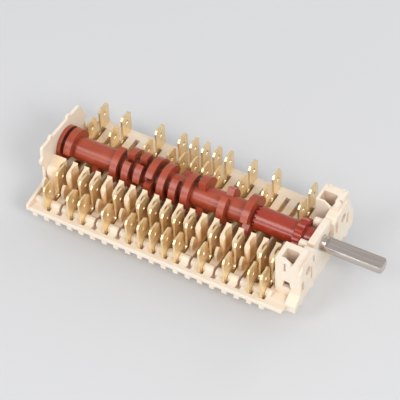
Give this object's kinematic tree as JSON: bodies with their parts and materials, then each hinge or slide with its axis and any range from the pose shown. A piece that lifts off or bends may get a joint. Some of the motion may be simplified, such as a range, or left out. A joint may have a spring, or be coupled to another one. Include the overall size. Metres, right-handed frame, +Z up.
{
  "type": "rotary cam switch",
  "caption": "Open rotary cam switch: long cream tray with rows of push-on tabs, a cam drum turned by a D-shaped steel shaft, and a front plate with two pocketed towers.",
  "frame": {"origin": "on the keel's underside, below the cam axis, in the plane of the middle station", "axes": "+X along the cam axis towards the shaft's end, +Z up, +Y across to the side with the lower tabs' slots set back"},
  "size_m": [0.1328, 0.0531, 0.0326],
  "materials": {
    "housing": "cream moulded thermoset, satin",
    "cam_drum": "terracotta moulded plastic, satin",
    "drive_sleeve": "red moulded plastic, semi-gloss",
    "shaft": "drawn steel, dull",
    "detent_spring": "spring steel",
    "terminal": "stamped brass, bright",
    "contact_spring": "bronze strip",
    "silver_contact": "silver"
  },
  "bodies": {
    "frame": {"housing": "housing", "detent_spring": "detent_spring", "moving_contacts": "silver_contact", "fixed_contacts": "silver_contact", "near_terminal_0": "terminal", "near_terminal_2": "terminal", "near_terminal_3": "terminal", "near_terminal_5": "terminal", "near_terminal_7": "terminal", "near_terminal_8": "terminal", "near_terminal_9": "terminal", "near_terminal_10": "terminal", "near_terminal_11": "terminal", "near_terminal_13": "terminal", "near_terminal_15": "terminal", "near_terminal_17": "terminal", "near_terminal_18": "terminal", "far_terminal_0": "terminal", "far_terminal_2": "terminal", "far_terminal_5": "terminal", "far_terminal_7": "terminal", "far_terminal_8": "terminal", "far_terminal_9": "terminal", "far_terminal_10": "terminal", "far_terminal_11": "terminal", "far_terminal_13": "terminal", "far_terminal_15": "terminal", "far_terminal_18": "terminal", "contact_spring_0": "contact_spring", "contact_spring_2": "contact_spring", "contact_spring_5": "contact_spring", "contact_spring_7": "contact_spring", "contact_spring_8": "contact_spring", "contact_spring_9": "contact_spring", "contact_spring_10": "contact_spring", "contact_spring_11": "contact_spring", "contact_spring_13": "contact_spring", "contact_spring_15": "contact_spring", "contact_spring_18": "contact_spring"},
    "rotor": {"cam_drum": "cam_drum", "drive_sleeve": "drive_sleeve", "shaft": "shaft"}
  },
  "joints": [
    {"name": "selector_turn", "type": "hinge", "parent": "frame", "child": "rotor", "pos_m": [0, 0, 0.0217], "axis": [1, 0, 0], "continuous": true}
  ]
}
